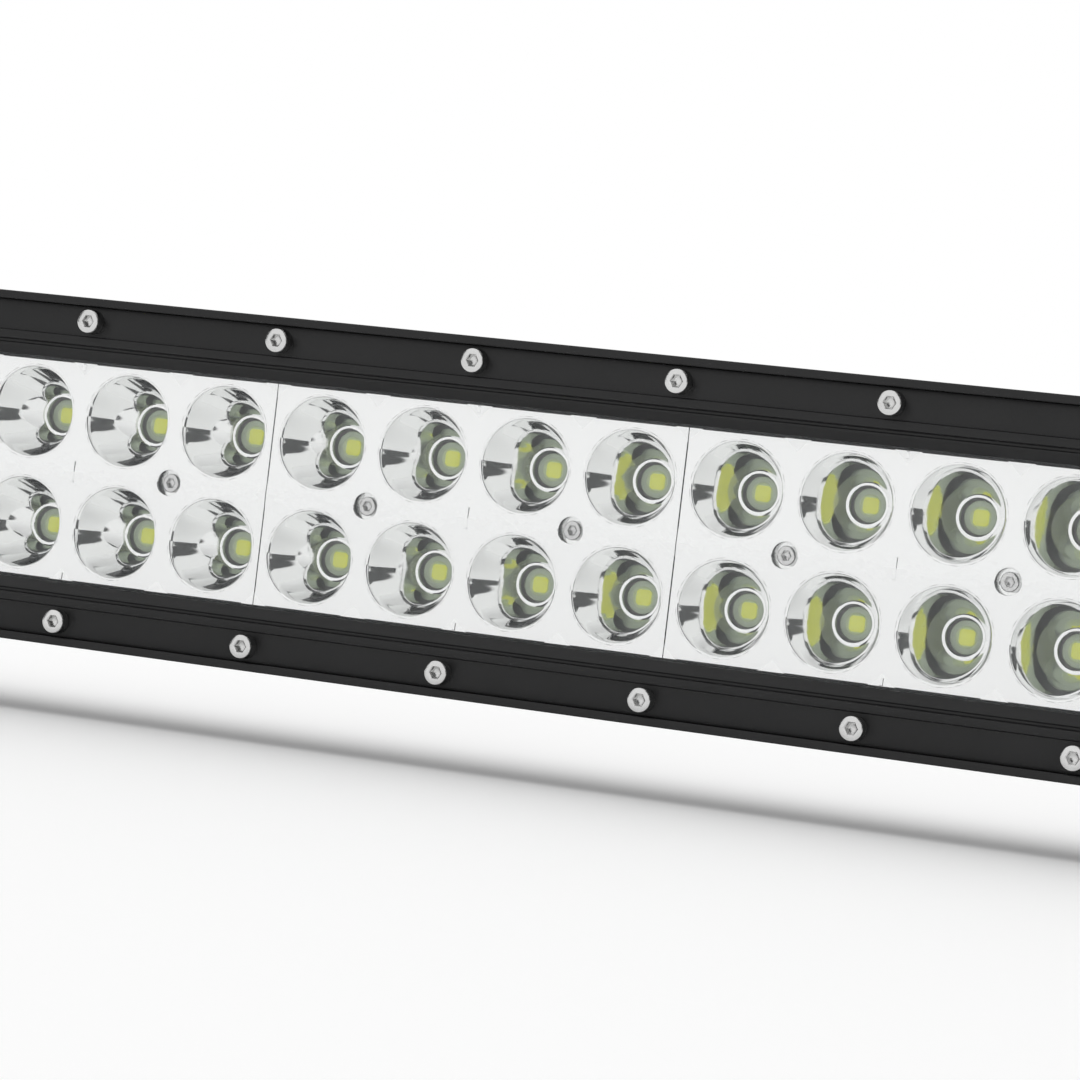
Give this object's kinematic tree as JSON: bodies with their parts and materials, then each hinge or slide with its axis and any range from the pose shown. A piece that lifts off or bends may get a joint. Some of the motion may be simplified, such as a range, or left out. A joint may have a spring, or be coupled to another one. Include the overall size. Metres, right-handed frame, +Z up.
{
  "type": "led light bar",
  "caption": "Straight double-row LED light bar in a finned black housing with a screwed front bezel, clear lens and two tilting slotted side brackets.",
  "frame": {"origin": "on the mounting surface under the feet, below the centre of the whole part's box", "axes": "+X along the bar, -Y is the way the light shines, +Z up from the mounting surface"},
  "size_m": [0.6022, 0.0672, 0.096],
  "materials": {
    "black_aluminium": "satin black powder coat",
    "black_bezel": "satin black powder coat",
    "black_steel": "satin black powder coat",
    "stainless_steel": "bright stainless steel",
    "seal_rubber": "matt silicone rubber",
    "clear_lens": "clear polished polycarbonate",
    "metallised_reflector": "bright vacuum-metallised plastic",
    "white_circuit_board": "white solder mask on an aluminium board",
    "thermal_pad": "matt grey silicone",
    "white_plastic": "white plastic",
    "led_ceramic": "pale ceramic",
    "led_phosphor": "yellow phosphor",
    "led_lens": "clear moulded silicone",
    "green_circuit_board": "green solder mask",
    "ferrite": "matt ferrite",
    "capacitor_sleeve": "dark blue sleeve",
    "chip_black": "moulded epoxy",
    "wire_red": "red insulation",
    "black_nylon": "moulded nylon",
    "grey_nylon": "moulded nylon"
  },
  "bodies": {
    "bracket_left": {"bracket_left": "black_steel"},
    "lamp": {"housing": "black_aluminium", "end_cap_left": "black_aluminium", "end_cap_right": "black_aluminium", "bezel_top": "black_bezel", "bezel_bottom": "black_bezel", "bezel_left": "black_bezel", "bezel_right": "black_bezel", "end_cap_screws_left": "stainless_steel", "end_cap_screws_right": "stainless_steel", "bezel_screws_top": "stainless_steel", "bezel_screws_bottom": "stainless_steel", "bezel_screws_ends": "stainless_steel", "pivot_bolt_left": "stainless_steel", "pivot_bolt_right": "stainless_steel", "pivot_washer_left": "stainless_steel", "pivot_washer_right": "stainless_steel", "lock_bolt_left": "stainless_steel", "lock_bolt_right": "stainless_steel", "lock_washer_left": "stainless_steel", "lock_washer_right": "stainless_steel", "reflector_screws": "stainless_steel", "end_gasket_left": "seal_rubber", "end_gasket_right": "seal_rubber", "lens_gasket": "seal_rubber", "gland_seal": "seal_rubber", "lens": "clear_lens", "reflector_1": "metallised_reflector", "reflector_2": "metallised_reflector", "reflector_3": "metallised_reflector", "reflector_4": "metallised_reflector", "reflector_5": "metallised_reflector", "led_board_1": "white_circuit_board", "led_board_2": "white_circuit_board", "led_board_3": "white_circuit_board", "led_board_4": "white_circuit_board", "led_board_5": "white_circuit_board", "thermal_pad": "thermal_pad", "board_jumpers": "white_plastic", "led_bodies": "led_ceramic", "led_chips": "led_phosphor", "led_domes": "led_lens", "driver_board": "green_circuit_board", "driver_inductors": "ferrite", "driver_capacitors": "capacitor_sleeve", "driver_chips": "chip_black", "lead_wires": "wire_red", "gland_body": "black_nylon", "gland_nut": "black_nylon", "gland_cap": "black_nylon", "breather": "black_nylon", "pivot_bush_left": "grey_nylon", "pivot_bush_right": "grey_nylon"},
    "bracket_right": {"bracket_right": "black_steel"}
  },
  "joints": [
    {"name": "lamp_tilt", "type": "hinge", "parent": "bracket_left", "child": "lamp", "pos_m": [-0.27115, -0.00175, 0.056], "axis": [1, 0, 0], "range_deg": [-45, 45]},
    {"name": "bracket_right_tilt", "type": "hinge", "parent": "lamp", "child": "bracket_right", "pos_m": [0.27115, -0.00175, 0.056], "axis": [1, 0, 0], "range_deg": [-45, 45]}
  ],
  "couplings": [
    {"joint": "bracket_right_tilt", "follows": "lamp_tilt", "ratio": -1}
  ]
}
